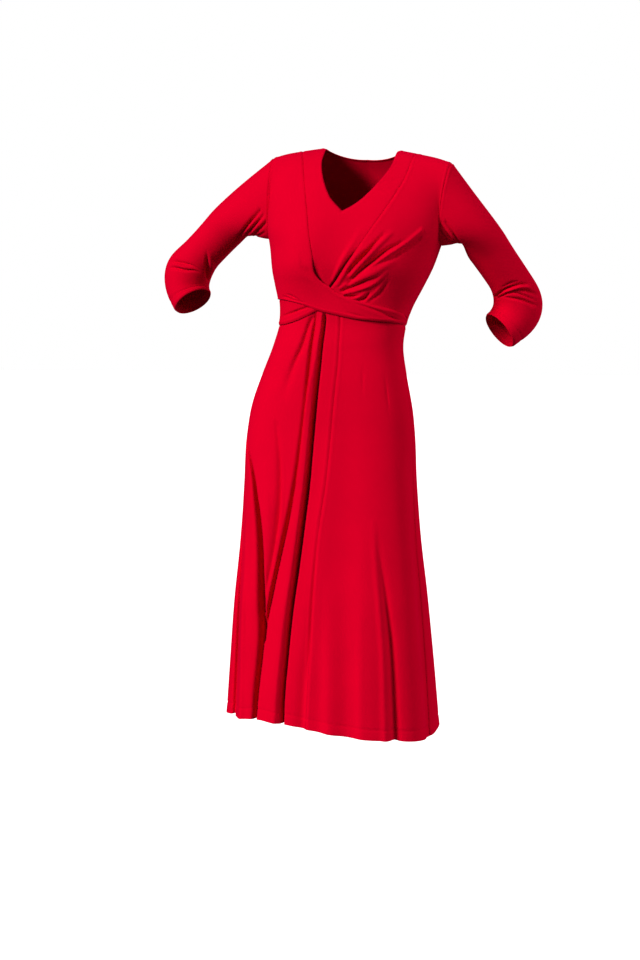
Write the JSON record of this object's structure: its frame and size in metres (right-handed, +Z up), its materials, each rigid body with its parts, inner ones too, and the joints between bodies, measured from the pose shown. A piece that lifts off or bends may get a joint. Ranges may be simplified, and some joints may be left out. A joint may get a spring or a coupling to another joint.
{
  "type": "wrap dress",
  "caption": "Worn, hollow midi wrap dress in plain jersey, with a V-neck inset, a twisted wrap waist, three-quarter sleeves on bent arms and a soft A-line skirt.",
  "frame": {"origin": "middle of the neck at shoulder height, where the wearer holds the dress up", "axes": "+Z up, the front faces -Y, the wearer's left is +X"},
  "size_m": [0.7684, 0.3832, 1.1408],
  "materials": {
    "jersey": "smooth soft jersey, slight sheen"
  },
  "bodies": {
    "root": {"front_inset": "jersey", "front_right_wrap": "jersey", "front_left_wrap": "jersey", "back_bodice": "jersey", "sleeve_right": "jersey", "sleeve_left": "jersey", "skirt_front_right": "jersey", "skirt_front_left": "jersey", "skirt_back": "jersey"}
  },
  "joints": []
}
